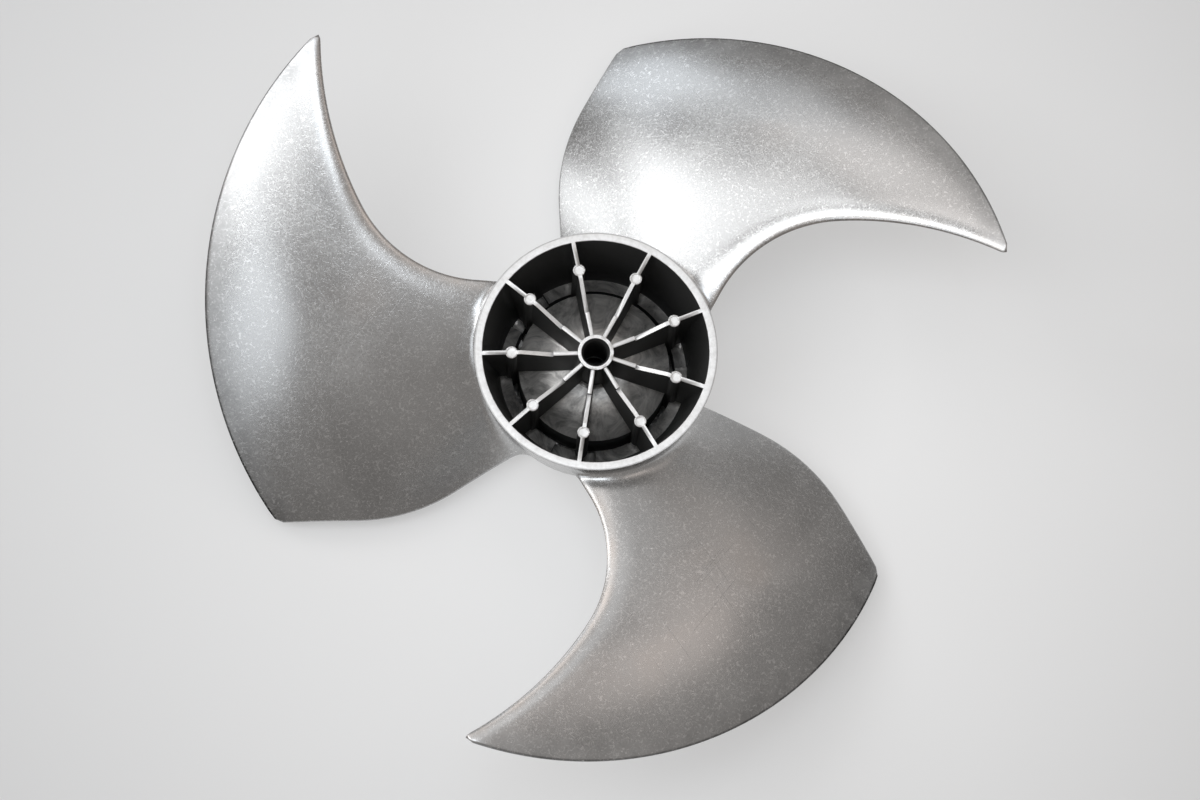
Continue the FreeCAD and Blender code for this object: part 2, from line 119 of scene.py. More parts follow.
# Studio: even surround and rings of square lamps, most of them on the left as in the photo
LAMP_DISTANCE, LAMP_SIDE = 2000.0, 700.0
WORLD_LEVEL, WORLD_COLOR = 0.363, (1.0, 0.953, 0.915)
WHITE, COOL = (0.96, 0.98, 1.0), (0.88, 0.94, 1.0)
SOFT_WARM, WARM = (1.0, 0.96, 0.94), (1.0, 0.87, 0.80)

# Each ring: degrees above the horizon, then the turn from +X in degrees, watts and tint of its lamps
LAMP_RINGS = (
    (90, ((0, 4.8, COOL),)),
    (68, ((60, 1.0, WHITE), (180, 3.8, WHITE), (300, 0.2, WHITE))),
    (48, ((20, 0.85, WARM), (60, 0.5, WHITE), (100, 1.6, SOFT_WARM), (140, 3.1, WHITE),
          (180, 5.4, WHITE), (220, 2.2, COOL))),
    (29, ((36, 0.3, WARM), (108, 0.9, COOL), (144, 3.8, WHITE), (216, 1.3, COOL))),
    (11, ((120, 2.9, COOL), (160, 3.8, WHITE))),
)

# Floor: its grey for light that spreads and for rays that see it, and its glow round GLOW_CENTRE
FLOOR_SIDE = 8000.0
FLOOR_GREY, SEEN_GREY = (0.785, 0.785, 0.785, 1), (0.50, 0.50, 0.50, 1)
FLOOR_SHADE = (0.97, 1.0)
FLOOR_GLOW, GLOW_EDGE = 0.4, (40.0, 50.0)
GLOW_CENTRE, GLOW_REACH, GLOW_FADE = (60.0, 0.0, 0.0), (100.0, 450.0), (1.0, 0.35)
FLOOR_ROUGHNESS, FLOOR_SPECULAR = 0.9, 0.1

# Masks of the casting: each pair says where one starts and where it is full
BLADE_START = (64.0, 68.0)
ARC_SWITCH = (137.0, 140.0)
# The leading shine marks a painted highlight, and the back part marks painted shade
LEAD_BAND, LEAD_HIGHLIGHT, BACK_SHADE = (6.0, 2.5), (15.0, 5.0), (60.0, 140.0)
# The dark edge line marks painted shade
OUTER_BAND, EDGE_SHADE = (13.0, 5.0), (1.3, 0.5)
WALL_INSIDE, ABOVE_DISC = (1.0, 1.6), (2.0, 3.0)
GROOVE_START, ABOVE_NOSE = (37.0, 38.0), (-25.0, -24.0)
LEVEL_FACES = (0.5, 0.9)
RIB_TOPS, RIM_TOP, MACHINED_EDGE = (33.5, 34.5), (41.9, 42.1), (61.3, 61.0)
# The rim line is a dark ring painted near the rim's outer edge: painted shade on its chamfer
RIM_LINE_RADIUS, RIM_LINE = 60.6, (0.5, 0.2)

# Noises: cells to a metre, or to a unit of a stretched place, with octaves, roughness and bend
CURL_NOISE = {"scale": 430.0, "detail": 0.0, "distortion": 0.8}
BREAK_NOISE = {"scale": 560.0, "detail": 0.0}
FINE_NOISE = {"scale": 1100.0, "detail": 2.0, "roughness": 0.6}
SPECK_NOISE = {"scale": 950.0, "detail": 0.0}
PATCH_NOISE = {"scale": 95.0, "detail": 3.0, "roughness": 0.6}
CLOUD_NOISE = {"scale": 22.0, "detail": 4.0, "roughness": 0.62}
BROAD_NOISE = {"scale": 7.0, "detail": 2.0, "distortion": 0.5}
STREAK_NOISE = {"scale": 60.0, "detail": 4.0, "roughness": 0.7, "distortion": 1.5}
SCRATCH_NOISE = {"scale": 16.0, "detail": 0.0}
TURNING_NOISE = {"scale": 1.0, "detail": 3.0, "roughness": 0.7}
FLOOR_NOISE = {"scale": 1.5, "detail": 1.0}

# Parts of a noise's range that a ramp uses
WIDE, MIDDLE, CUT_RANGE = (0.3, 0.7), (0.35, 0.65), (0.35, 0.6)
CURL_CENTRE, CURL_EDGE, CURL_BREAKS = 0.5, (0.015, 0.045), (0.36, 0.44)
SPECK_EDGE, SCRATCH_EDGE, SCRATCH_PATCHES = (0.80, 0.84), (0.80, 0.82), (0.52, 0.62)
STAIN_EDGE = (0.62, 0.75)

# Scratches and turning marks: turn and offset of each set of scratches, and how far both are drawn out
SCRATCH_SETS = ((0.9, 0.0), (2.2, 3.0))
SCRATCH_WIDTH = 0.012
TURNING_STRETCH, TURNING_PITCH = 22.0, 0.3

# Tones of the cast surface: a grey and what each feature adds to it, painted shade and a painted highlight
# among them
CAST_GREY = 0.52
FINE_TONE, CURL_TONE = (-0.03, 0.03), (-0.03, 0.12)
CLOUD_TONE, BROAD_TONE, MARGIN_TONE = (-0.035, 0.03), (-0.025, 0.025), (-0.07, 0.0)
# Painted shade on the back part and in the dark edge line, and a painted highlight from the leading shine
BACK_SHADE_TONE, HIGHLIGHT_TONE, EDGE_SHADE_TONE = -0.19, 0.14, -0.25
SPECK_TONE, SCRATCH_TONE = 0.25, -0.07
LEAD_TAN, STAIN_TAN = (0.05, 0.4), (0.0, 0.4)

# Colours of the other surfaces
TAN = (0.68, 0.60, 0.54, 1)
# The cup's colours are painted shade: dark walls, and a streaky floor, facing up, that stands for the lit
# side
CUP_WALL_SHADE = (0.05, 0.05, 0.049, 1)
CUP_FLOOR_DARK, CUP_FLOOR_PALE = (0.34, 0.33, 0.32, 1), (1.0, 0.97, 0.93, 1)
CUT_DARK, CUT_PALE = (0.74, 0.735, 0.725, 1), (0.86, 0.855, 0.85, 1)
# Colour and share of the dark rim line, painted shade
RIM_SHADE_COLOR, RIM_SHADE_SHARE = (0.25, 0.25, 0.25, 1), 0.5

# Roughness, what the cup and the machined tops take from the metallic share, and the grain's relief
FINE_ROUGH, CLOUD_ROUGH = (0.23, 0.29), (-0.025, 0.035)
MARGIN_ROUGH, CUT_ROUGH, CUP_ROUGH = 0.06, 0.12, (0.5, 0.38)
CUP_DULL, CUT_DULL = -0.5, -0.65
CURL_RELIEF, FINE_RELIEF, SCRATCH_RELIEF = 0.8, 0.25, -1.5
BUMP_STRENGTH, BUMP_DEPTH = 0.4, 0.03


def add_camera():
    """Camera whose axes follow the tilt and turn, aimed so that the rim sits where the photo has it."""
    tilt_cos, tilt_sin = math.cos(CAMERA_TILT), math.sin(CAMERA_TILT)
    turn_cos, turn_sin = math.cos(CAMERA_TURN), math.sin(CAMERA_TURN)
    up = Vector((0, tilt_cos, -tilt_sin))
    right = Vector((turn_cos, tilt_sin * turn_sin, tilt_cos * turn_sin))
    back = Vector((-turn_sin, tilt_sin * turn_cos, tilt_cos * turn_cos))
    place = Vector((0, 0, RIM_HEIGHT)) - right * CAMERA_SHIFT[0] - up * CAMERA_SHIFT[1]
    place += back * CAMERA_DISTANCE
    axes = Matrix((right, up, back)).transposed().to_4x4()
    data = bpy.data.cameras.new("Camera")
    data.sensor_width = SENSOR
    data.lens = SENSOR * CAMERA_DISTANCE / (FRAME_WIDTH * PIXEL)
    camera = bpy.data.objects.new("Camera", data)
    camera.matrix_world = Matrix.Translation(place * MM) @ axes
    bpy.context.collection.objects.link(camera)
    bpy.context.scene.camera = camera


def add_lamp(height, turn, power, color):
    """Square lamp that faces the object from a height and a turn in degrees."""
    lamp = bpy.data.lights.new(f"lamp_{height}_{turn}", "AREA")
    lamp.shape = "SQUARE"
    lamp.size = LAMP_SIDE * MM
    lamp.energy = power
    lamp.color = color
    rise, around = math.radians(height), math.radians(turn)
    level = math.cos(rise)
    place = Vector((level * math.cos(around), level * math.sin(around), math.sin(rise))) * LAMP_DISTANCE
    holder = bpy.data.objects.new(lamp.name, lamp)
    holder.location = place * MM
    holder.rotation_euler = place.to_track_quat("Z", "Y").to_euler()
    bpy.context.collection.objects.link(holder)


def set_world(strength, color):
    """Even studio surround."""
    world = bpy.data.worlds.new("Studio")
    world.use_nodes = True
    background = world.node_tree.nodes["Background"]
    background.inputs["Color"].default_value = (*color, 1)
    background.inputs["Strength"].default_value = strength
    bpy.context.scene.world = world


class Nodes:
    """Small helper that adds and links shader nodes in one material."""

    # A Mix node's two inputs and its output, for numbers and for colours
    MIX_SOCKETS = {"FLOAT": ((2, 3), 0), "RGBA": ((6, 7), 2)}

    def __init__(self, name):
        self.material = bpy.data.materials.new(name)
        self.material.use_nodes = True
        self.tree = self.material.node_tree
        self.shader = self.tree.nodes["Principled BSDF"]

    def feed(self, socket, value):
        """Give an input a fixed value, or link it to another node's output."""
        if isinstance(value, bpy.types.NodeSocket):
            self.tree.links.new(value, socket)
        else:
            socket.default_value = value

    def surface(self, **inputs):
        """Set inputs of the material's shader, with underscores in place of spaces."""
        for name, value in inputs.items():
            self.feed(self.shader.inputs[name.replace("_", " ")], value)

    def add(self, kind, settings=None, **inputs):
        """New node with its settings and its inputs, with underscores in place of spaces."""
        node = self.tree.nodes.new(kind)
        for name, value in (settings or {}).items():
            setattr(node, name, value)
        for name, value in inputs.items():
            self.feed(node.inputs[name.replace("_", " ")], value)
        return node

    def noise(self, place, scale, detail=2.0, roughness=0.5, distortion=0.0):
        """Noise from 0 to 1 at a place."""
        node = self.add("ShaderNodeTexNoise", Vector=place, Scale=scale, Detail=detail,
                        Roughness=roughness, Distortion=distortion)
        return node.outputs["Fac"]

    def ramp(self, value, ends, levels=(0.0, 1.0)):
        """Value that runs from one level to the other between two ends, and stays there outside them."""
        node = self.add("ShaderNodeMapRange", Value=value, From_Min=ends[0], From_Max=ends[1],
                        To_Min=levels[0], To_Max=levels[1])
        return node.outputs["Result"]

    def math(self, operation, *values):
        """Result of a maths operation on one or two values."""
        node = self.add("ShaderNodeMath", {"operation": operation})
        for socket, value in zip(node.inputs, values):
            self.feed(socket, value)
        return node.outputs["Value"]

    def total(self, first, *others):
        """Sum of all the values."""
        for value in others:
            first = self.math("ADD", first, value)
        return first

    def product(self, first, *others):
        """Product of all the values."""
        for value in others:
            first = self.math("MULTIPLY", first, value)
        return first

    def less(self, first, second):
        """First value minus the second."""
        return self.math("SUBTRACT", first, second)

    def mix(self, factor, first, second, kind="RGBA"):
        """Mix of two colours, or of two numbers when the kind says so."""
        node = self.add("ShaderNodeMix", {"data_type": kind}, Factor=factor)
        pair, result = self.MIX_SOCKETS[kind]
        for index, value in zip(pair, (first, second)):
            self.feed(node.inputs[index], value)
        return node.outputs[result]

    def scaled(self, vector, factor):
        """Vector or colour times a number."""
        node = self.add("ShaderNodeVectorMath", {"operation": "SCALE"}, Scale=factor)
        self.feed(node.inputs[0], vector)
        return node.outputs["Vector"]

    def distance(self, place, point=(0, 0, 0)):
        """Distance of a place from a fixed point."""
        node = self.add("ShaderNodeVectorMath", {"operation": "DISTANCE"})
        self.feed(node.inputs[0], place)
        self.feed(node.inputs[1], point)
        return node.outputs["Value"]


def surface_places(nodes, place):
    """Radius from the shaft and height, both in millimetres, turn about the shaft and upward facing."""
    parts = nodes.add("ShaderNodeSeparateXYZ", Vector=nodes.scaled(place, 1 / MM)).outputs
    squares = (nodes.product(parts[axis], parts[axis]) for axis in "XY")
    radius = nodes.math("SQRT", nodes.total(*squares))
    turn = nodes.math("ARCTAN2", parts["Y"], parts["X"])
    facing = nodes.add("ShaderNodeNewGeometry").outputs["True Normal"]
    upward = nodes.add("ShaderNodeSeparateXYZ", Vector=facing).outputs["Z"]
    return radius, parts["Z"], turn, upward


def left_blade_place(nodes, radius, turn):
    """Place in the plan, with all blades folded onto the left one."""
    past_start = nodes.math("FLOORED_MODULO", nodes.less(turn, SECTOR_START), math.tau / BLADE_COUNT)
    folded = nodes.total(past_start, SECTOR_START)
    across = nodes.product(radius, nodes.math("COSINE", folded))
    upright = nodes.product(radius, nodes.math("SINE", folded))
    return nodes.add("ShaderNodeCombineXYZ", X=across, Y=upright).outputs["Vector"]


def gap_from(nodes, place, centre, radius):
    """Distance of a place in the plan from a circle, positive outside it."""
    return nodes.less(nodes.distance(place, (*centre, 0)), radius)


def blade_masks(nodes, radius, turn):
    """Masks of a blade: leading band, a wider leading band for a painted highlight, the back part for
    painted shade, outer margin and a dark edge line of painted shade.
    """
    lead_inner, lead_outer, outer_centre = plan_centres()
    left = left_blade_place(nodes, radius, turn)
    inner_gap = gap_from(nodes, left, lead_inner, LEAD_INNER_RADIUS)
    outer_gap = gap_from(nodes, left, lead_outer, LEAD_OUTER_RADIUS)
    lead_gap = nodes.mix(nodes.ramp(radius, ARC_SWITCH), inner_gap, outer_gap, "FLOAT")
    far_gap = nodes.product(gap_from(nodes, left, outer_centre, OUTER_RADIUS), -1.0)
    edge_gap = nodes.math("MINIMUM", nodes.math("ABSOLUTE", lead_gap), nodes.math("ABSOLUTE", far_gap))
    on_blade = nodes.ramp(radius, BLADE_START)
    ends = ((lead_gap, LEAD_BAND), (lead_gap, LEAD_HIGHLIGHT), (lead_gap, BACK_SHADE),
            (far_gap, OUTER_BAND), (edge_gap, EDGE_SHADE))
    return [nodes.product(on_blade, nodes.ramp(gap, pair)) for gap, pair in ends]


def hub_masks(nodes, radius, height, level):
    """Masks of the machined tops and of the inside of the cup, where the colour is painted shade."""
    depth = nodes.less(RIM_HEIGHT, height)
    wall = nodes.less(RIM_RADIUS, nodes.product(depth, math.tan(HUB_DRAFT)))
    inside = nodes.ramp(nodes.less(wall, radius), WALL_INSIDE)
    in_groove = nodes.product(nodes.ramp(radius, GROOVE_START), nodes.ramp(height, ABOVE_NOSE))
    in_cup = nodes.product(inside, nodes.math("MAXIMUM", nodes.ramp(height, ABOVE_DISC), in_groove))
    rib_tops = nodes.product(level, nodes.ramp(height, RIB_TOPS))
    top = nodes.math("MAXIMUM", rib_tops, nodes.ramp(height, RIM_TOP))
    machined = nodes.product(top, nodes.ramp(radius, MACHINED_EDGE))
    return machined, nodes.product(in_cup, nodes.less(1.0, top))


def grain_curls(nodes, place):
    """Thin curls where a noise crosses its middle, broken up by a second noise."""
    from_middle = nodes.math("ABSOLUTE", nodes.less(nodes.noise(place, **CURL_NOISE), CURL_CENTRE))
    breaks = nodes.ramp(nodes.noise(place, **BREAK_NOISE), CURL_BREAKS)
    return nodes.product(nodes.ramp(from_middle, CURL_EDGE, (1.0, 0.0)), breaks)


def hairlines(nodes, place, broad):
    """Hairline scratches: stretched noise in two directions, kept to a few patches."""
    found = 0.0
    for turn, offset in SCRATCH_SETS:
        stretched = nodes.add("ShaderNodeMapping", {"vector_type": "TEXTURE"}, Vector=place,
                              Location=(offset, 0, 0), Rotation=(0, 0, turn), Scale=(1, SCRATCH_WIDTH, 1))
        lines = nodes.ramp(nodes.noise(stretched.outputs["Vector"], **SCRATCH_NOISE), SCRATCH_EDGE)
        found = nodes.math("MAXIMUM", lines, found)
    return nodes.product(found, nodes.ramp(broad, SCRATCH_PATCHES))


def cup_shade_color(nodes, place, level):
    """Painted shade inside the cup: dark walls, and a mottled floor that is paler where the faces turn
    upward.
    """
    streaks = nodes.ramp(nodes.noise(place, **STREAK_NOISE), MIDDLE)
    return nodes.mix(level, CUP_WALL_SHADE, nodes.mix(streaks, CUP_FLOOR_DARK, CUP_FLOOR_PALE))


def cut_color(nodes, radius, turn):
    """Machined metal with marks that run round the shaft."""
    around = nodes.add("ShaderNodeCombineXYZ", X=nodes.product(turn, TURNING_STRETCH),
                       Y=nodes.product(radius, TURNING_PITCH)).outputs["Vector"]
    marks = nodes.ramp(nodes.noise(around, **TURNING_NOISE), CUT_RANGE)
    return nodes.mix(marks, CUT_DARK, CUT_PALE)


def cast_aluminium():
    """Bead-blasted cast aluminium: curly grain, specks, hairlines, soft stains and machined tops, with
    painted shade in the cup, on the blades' back parts, along their edges and at the rim's edge, and a
    painted highlight along the leading edges.
    """
    nodes = Nodes("cast_aluminium")
    place = nodes.add("ShaderNodeTexCoord").outputs["Object"]
    radius, height, turn, upward = surface_places(nodes, place)
    level = nodes.ramp(upward, LEVEL_FACES)
    machined, in_cup = hub_masks(nodes, radius, height, level)
    lead_band, lead_highlight, back_shade, outer_band, edge_shade = blade_masks(nodes, radius, turn)

    # Features of the cast surface, from fine to broad
    fine = nodes.noise(place, **FINE_NOISE)
    curl = grain_curls(nodes, place)
    specks = nodes.ramp(nodes.noise(place, **SPECK_NOISE), SPECK_EDGE)
    patches = nodes.noise(place, **PATCH_NOISE)
    cloud = nodes.noise(place, **CLOUD_NOISE)
    broad = nodes.noise(place, **BROAD_NOISE)
    scratches = hairlines(nodes, place, broad)

    # Colour: a grey tone with painted shade and a painted highlight on the blades, tan at the leading edge
    # and in stains, then painted shade in the cup, the machined tops and a dark ring of painted shade at
    # the rim's edge
    tone = nodes.total(
        nodes.ramp(fine, WIDE, FINE_TONE),
        nodes.ramp(curl, (0.0, 1.0), CURL_TONE),
        nodes.ramp(cloud, WIDE, CLOUD_TONE),
        nodes.ramp(broad, MIDDLE, BROAD_TONE),
        nodes.product(outer_band, nodes.ramp(patches, MIDDLE, MARGIN_TONE)),
        # Painted shade: the back part of each blade is darker
        nodes.product(back_shade, BACK_SHADE_TONE),
        nodes.product(specks, SPECK_TONE),
        nodes.product(scratches, SCRATCH_TONE),
        # Painted shade in a thin dark line along the blade edges
        nodes.product(edge_shade, EDGE_SHADE_TONE),
        # Painted highlight in a band along the leading edge
        nodes.product(lead_highlight, HIGHLIGHT_TONE),
        CAST_GREY,
    )
    grey = nodes.add("ShaderNodeCombineColor", Red=tone, Green=tone, Blue=tone).outputs["Color"]
    tan = nodes.total(nodes.product(lead_band, nodes.ramp(patches, WIDE, LEAD_TAN)),
                      nodes.ramp(broad, STAIN_EDGE, STAIN_TAN))
    # Inside the cup the colour is painted shade
    base = nodes.mix(in_cup, nodes.mix(tan, grey, TAN), cup_shade_color(nodes, place, level))
    base = nodes.mix(machined, base, cut_color(nodes, radius, turn))
    # A dark ring near the rim's outer edge is painted shade
    from_line = nodes.math("ABSOLUTE", nodes.less(radius, RIM_LINE_RADIUS))
    rim_shade_line = nodes.product(machined, nodes.ramp(from_line, RIM_LINE), RIM_SHADE_SHARE)
    base = nodes.mix(rim_shade_line, base, RIM_SHADE_COLOR)

    # Gloss and relief
    metallic = nodes.total(nodes.product(in_cup, CUP_DULL), nodes.product(machined, CUT_DULL), 1.0)
    rough = nodes.total(nodes.ramp(fine, WIDE, FINE_ROUGH), nodes.ramp(cloud, WIDE, CLOUD_ROUGH),
                        nodes.product(outer_band, MARGIN_ROUGH), nodes.product(machined, CUT_ROUGH))
    cup_rough = nodes.product(in_cup, nodes.ramp(level, (0.0, 1.0), CUP_ROUGH))
    relief = nodes.total(nodes.product(curl, CURL_RELIEF), nodes.product(fine, FINE_RELIEF),
                         nodes.product(scratches, SCRATCH_RELIEF))
    relief = nodes.product(relief, nodes.less(1.0, machined))
    bump = nodes.add("ShaderNodeBump", Height=relief, Strength=BUMP_STRENGTH, Distance=BUMP_DEPTH * MM)
    nodes.surface(Base_Color=base, Metallic=metallic, Roughness=nodes.math("MAXIMUM", rough, cup_rough),
                  Normal=bump.outputs["Normal"])
    return nodes.material


def pale_floor():
    """Matt pale studio floor with a glow that only camera, glossy and transmission rays see."""
    nodes = Nodes("studio_floor")
    place = nodes.add("ShaderNodeTexCoord").outputs["Object"]
    rays = nodes.add("ShaderNodeLightPath").outputs
    seen = nodes.math("MAXIMUM", rays["Is Camera Ray"], rays["Is Glossy Ray"])
    seen = nodes.math("MAXIMUM", seen, rays["Is Transmission Ray"])
    shade = nodes.ramp(nodes.noise(place, **FLOOR_NOISE), WIDE, FLOOR_SHADE)
    color = nodes.scaled(nodes.mix(seen, FLOOR_GREY, SEEN_GREY), shade)
    spot = nodes.scaled(place, 1 / MM)
    clear_of_hub = nodes.ramp(nodes.distance(spot), GLOW_EDGE, (0.0, FLOOR_GLOW))
    fade = nodes.ramp(nodes.distance(spot, GLOW_CENTRE), GLOW_REACH, GLOW_FADE)
    nodes.surface(Base_Color=color, Emission_Color=(1, 1, 1, 1),
                  Emission_Strength=nodes.product(clear_of_hub, fade, seen),
                  Roughness=FLOOR_ROUGHNESS, Specular_IOR_Level=FLOOR_SPECULAR)
    return nodes.material


def add_floor():
    """Floor plane at the height that the nose rests on."""
    bpy.ops.mesh.primitive_plane_add(size=FLOOR_SIDE * MM, location=(0, 0, FLOOR_HEIGHT * MM))
    floor = bpy.context.object
    floor.name = "studio_floor"
    floor.data.materials.append(pale_floor())


def arc(centre, radius, start, end, count):
    """Points along a circular arc in the plan."""
    turns = np.linspace(start, end, count)
    return np.c_[centre[0] + radius * np.cos(turns), centre[1] + radius * np.sin(turns)]


def along(points, distances):
    """Points at given distances along a polyline."""
    steps = np.linalg.norm(np.diff(points, axis=0), axis=1)
    travelled = np.r_[0, np.cumsum(steps)]
    return np.stack([np.interp(distances, travelled, axis) for axis in points.T], axis=-1)


def length_of(points):
    """Length of a polyline."""
    return np.linalg.norm(np.diff(points, axis=0), axis=1).sum()


def soften(before, after, reach):
    """Join two polylines that meet in a corner by a curve that starts and ends a reach away from it."""
    kept = along(before, np.linspace(0, length_of(before) - reach, EDGE_POINTS))
    rest = along(after, np.linspace(reach, length_of(after), EDGE_POINTS))
    share = np.linspace(0, 1, BEND_POINTS)[:, None]
    bend = (1 - share) ** 2 * kept[-1] + 2 * share * (1 - share) * before[-1] + share ** 2 * rest[0]
    return np.vstack([kept, bend[1:-1], rest])


def toward(angle):
    """Unit vector in the plan at an angle from +X."""
    return np.array([math.cos(angle), math.sin(angle)])


def angle_of(vector):
    """Angle of a vector in the plan, from 0 to a full turn."""
    return math.atan2(vector[1], vector[0]) % math.tau


def plan_centres():
    """Centres of the left blade's two leading arcs and of its outer edge, in the plan."""
    inner = np.array(LEAD_INNER)
    outer = inner - (LEAD_OUTER_RADIUS - LEAD_INNER_RADIUS) * toward(LEAD_JOIN)
    tip = outer + LEAD_OUTER_RADIUS * toward(LEAD_TIP)
    chord = np.array(CORNER) - tip
    inward = np.array([-chord[1], chord[0]]) / np.linalg.norm(chord)
    drop = math.sqrt(OUTER_RADIUS ** 2 - (chord @ chord) / 4)
    return inner, outer, (tip + CORNER) / 2 + inward * drop


def plan_outline():
    """Leading edge and far edge of the left blade, both from inside the hub to the tip's apex."""
    inner, outer, centre = plan_centres()
    root_y = inner[1] - LEAD_INNER_RADIUS
    root_x = -math.sqrt(ROOT_RADIUS ** 2 - root_y ** 2)
    lead = np.vstack([
        [(root_x, root_y)],
        arc(inner, LEAD_INNER_RADIUS, LEAD_ROOT, LEAD_JOIN, ARC_POINTS),
        arc(outer, LEAD_OUTER_RADIUS, LEAD_JOIN, LEAD_TIP, ARC_POINTS)[1:],
    ])
    tip, corner = lead[-1], np.array(CORNER)
    start, end = angle_of(corner - centre), angle_of(tip - centre)
    rim_edge = arc(centre, OUTER_RADIUS - EDGE_INSET, start, end, EDGE_POINTS)
    bend, ray = np.array(TRAIL_BEND), toward(TRAIL_ANGLE)
    reach = -(bend @ ray) - math.sqrt((bend @ ray) ** 2 - bend @ bend + ROOT_RADIUS ** 2)
    trail = soften(np.array([bend + ray * reach, bend]), np.array([bend, corner]), BEND_REACH)
    far = soften(trail, rim_edge, CORNER_REACH)
    whole = soften(lead, far[::-1], TIP_REACH)
    apex = np.argmin(np.linalg.norm(whole - tip, axis=1))
    return whole[:apex + 1], whole[apex:][::-1]


def gap_to(points, line):
    """Distance of each point from a polyline in the plan."""
    starts, runs = line[:-1], np.diff(line, axis=0)
    offset = points[:, None, :] - starts[None]
    lengths = np.maximum((runs ** 2).sum(-1), SHORTEST ** 2)
    share = np.clip((offset * runs).sum(-1) / lengths, 0, 1)
    return np.linalg.norm(offset - share[..., None] * runs, axis=-1).min(1)


def surface_height(x, y):
    """Height of the blade's middle surface."""
    out = (np.maximum(np.hypot(x, y), LAW_RADIUS) - MEAN_RADIUS) / RADIUS_UNIT
    back = (np.degrees(np.arctan2(y, x)) % 360 - MEAN_ANGLE) / ANGLE_UNIT
    fall = MID_DEPTH + RAKE * out + DISH * out ** 2 + PITCH * back + CAMBER * back ** 2
    fall += DROOP * (np.maximum(0, np.hypot(x, y) - DROOP_RADIUS) / DROOP_REACH) ** 2
    return RIM_HEIGHT - fall - TWIST * out * back - CURL * out ** 2 * back


def surface_normal(x, y):
    """Unit normal of the middle surface, upwards."""
    step = SLOPE_STEP
    slope_x = (surface_height(x + step, y) - surface_height(x - step, y)) / (2 * step)
    slope_y = (surface_height(x, y + step) - surface_height(x, y - step)) / (2 * step)
    normal = np.stack([-slope_x, -slope_y, np.ones_like(x)], axis=-1)
    return normal / np.linalg.norm(normal, axis=-1, keepdims=True)


def quarter(share):
    """Quarter-ellipse rise from 0 to 1."""
    return np.sqrt(np.clip(1 - (1 - np.clip(share, 0, 1)) ** 2, 0, 1))


def nose_length(span):
    """Length of the rounded nose, longer near the root than at the tip."""
    return NOSE_LENGTH + (ROOT_NOSE_LENGTH - NOSE_LENGTH) * (1 - span) ** ROOT_NOSE_FADE


def chord_shares(width, nose):
    """Fractions across the blade: close together at the nose and at the thin far edge."""
    nose = min((nose + NOSE_MARGIN) / width, NOSE_LIMIT)
    edge = min(EDGE_ROUND / width, EDGE_LIMIT)
    lead = nose * np.linspace(0, 1, NOSE_STEPS) ** NOSE_CROWDING
    middle = np.linspace(nose, 1 - edge, CHORD_STEPS)
    rounded = 1 - edge * np.linspace(1, 0, EDGE_STEPS) ** EDGE_CROWDING
    return np.concatenate([lead, middle[1:], rounded[1:]])


def skin_plan(lead, far, spans):
    """Grid of places in the plan, each row across the blade and bent round the shaft near the root."""
    leads = along(lead, spans * length_of(lead))
    fars = along(far, spans * length_of(far))
    first, last = angle_of(leads[0]), angle_of(fars[0])
    rows = []
    for span, start, stop in zip(spans, leads, fars):
        width = max(np.linalg.norm(stop - start), SHORTEST)
        shares = chord_shares(width, nose_length(span))[:, None]
        turns = first + (last - first) * shares
        root = np.hstack([ROOT_RADIUS * np.cos(turns), ROOT_RADIUS * np.sin(turns)])
        bulge = root - (1 - shares) * leads[0] - shares * fars[0]
        rows.append((1 - shares) * start + shares * stop + (1 - span) * bulge)
    return np.array(rows)


def skin_grids():
    """Upper and lower skin as grids of points, rows from inside the hub to the tip's apex."""
    lead, far = plan_outline()
    spans = np.linspace(0, 1, FINE_STEPS)
    plan = skin_plan(lead, far, spans)
    inset, edge = (gap_to(plan.reshape(-1, 2), line).reshape(plan.shape[:2]) for line in (lead, far))
    apex = np.linalg.norm(plan - lead[-1], axis=-1)
    thinned = np.clip((inset - NOSE_LENGTH) / (THIN_LENGTH - NOSE_LENGTH), 0, 1)
    half = (LEAD_THICKNESS + (TRAIL_THICKNESS - LEAD_THICKNESS) * thinned) / 2
    half = half * quarter(edge / EDGE_ROUND) * quarter(apex / TIP_REACH)
    upper = half * (-NOSE_DROP + (1 + NOSE_DROP) * quarter(inset / nose_length(spans)[:, None]))
    lower = half * (-NOSE_DROP - (1 - NOSE_DROP) * quarter(inset / NOSE_UNDER))
    x, y = plan[..., 0], plan[..., 1]
    middle = np.dstack([x, y, surface_height(x, y)])
    normal = surface_normal(x, y)
    return middle + normal * upper[..., None], middle + normal * lower[..., None]


def cone_radius(z):
    """Outer radius of the hub at a height."""
    return RIM_RADIUS - (RIM_HEIGHT - z) * math.tan(HUB_DRAFT)


def on_cone(points, sunk):
    """Points moved radially to a little inside the hub's cone."""
    spread = np.hypot(points[:, 0], points[:, 1])
    scale = (cone_radius(points[:, 2]) - sunk) / spread
    return np.c_[points[:, 0] * scale, points[:, 1] * scale, points[:, 2]]


def fillet_foot(root):
    """Points along the hub's wall, a fillet's reach outside the root loop and clear of rim and nose."""
    tangent = np.roll(root, -1, axis=0) - np.roll(root, 1, axis=0)
    wall = np.c_[root[:, :2], np.hypot(root[:, 0], root[:, 1]) * -math.tan(HUB_DRAFT)]
    outward = np.cross(tangent, wall)
    outward /= np.linalg.norm(outward, axis=1, keepdims=True)

    # A quarter of the way round the loop is the middle of the upper skin, where outward means up
    middle = len(root) // 4
    if outward[middle] @ (root[middle] - root.mean(0)) < 0:
        outward = -outward
    foot = root + outward * FILLET
    foot[:, 2] = np.clip(foot[:, 2], FLOOR_HEIGHT + FOOT_CLEARANCE, RIM_HEIGHT - RIM_CLEARANCE)
    return foot


